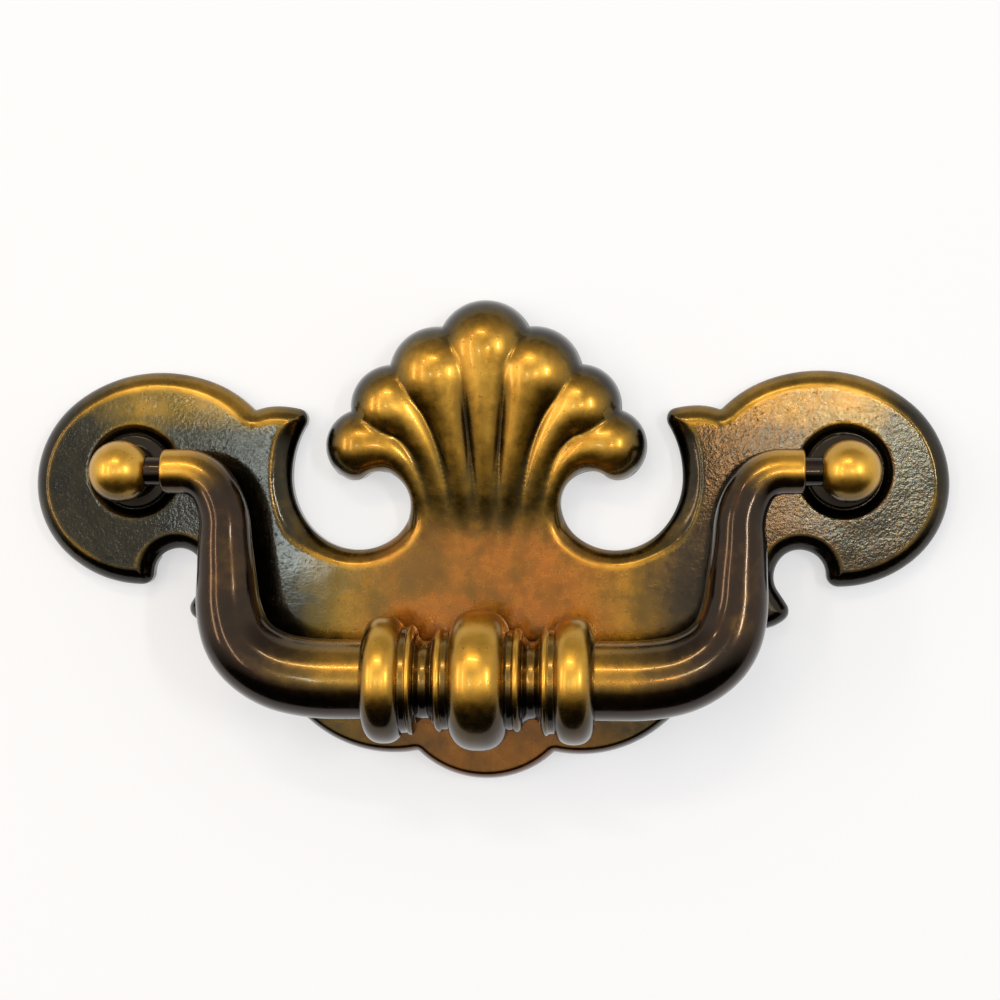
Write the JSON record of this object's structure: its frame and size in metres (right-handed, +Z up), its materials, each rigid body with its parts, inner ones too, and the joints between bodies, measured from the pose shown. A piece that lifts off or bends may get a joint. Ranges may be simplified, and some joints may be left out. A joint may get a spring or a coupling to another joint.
{
  "type": "bail pull",
  "caption": "Cast brass drawer pull: a pierced backplate with a fluted shell, ball-headed posts and a swinging bail with a turned centre.",
  "frame": {"origin": "midway between the screw holes, in the plane of the back rim", "axes": "+Z up as mounted, +X to the right seen from the front, the front faces -Y"},
  "size_m": [0.0984, 0.0178, 0.0515],
  "materials": {
    "plate_brass": "antique brass, dark patina in the recesses, satin to polished",
    "post_brass": "antique brass, rubbed bright on the balls",
    "bail_brass": "antique brass, dark arms, rubbed bright on the turned centre"
  },
  "bodies": {
    "plate": {"backplate": "plate_brass", "post_left": "post_brass", "post_right": "post_brass"},
    "bail": {"bail": "bail_brass"}
  },
  "joints": [
    {"name": "bail_swing", "type": "hinge", "parent": "plate", "child": "bail", "pos_m": [0, -0.009, 0], "axis": [-1, 0, 0], "range_deg": [0, 169]}
  ]
}
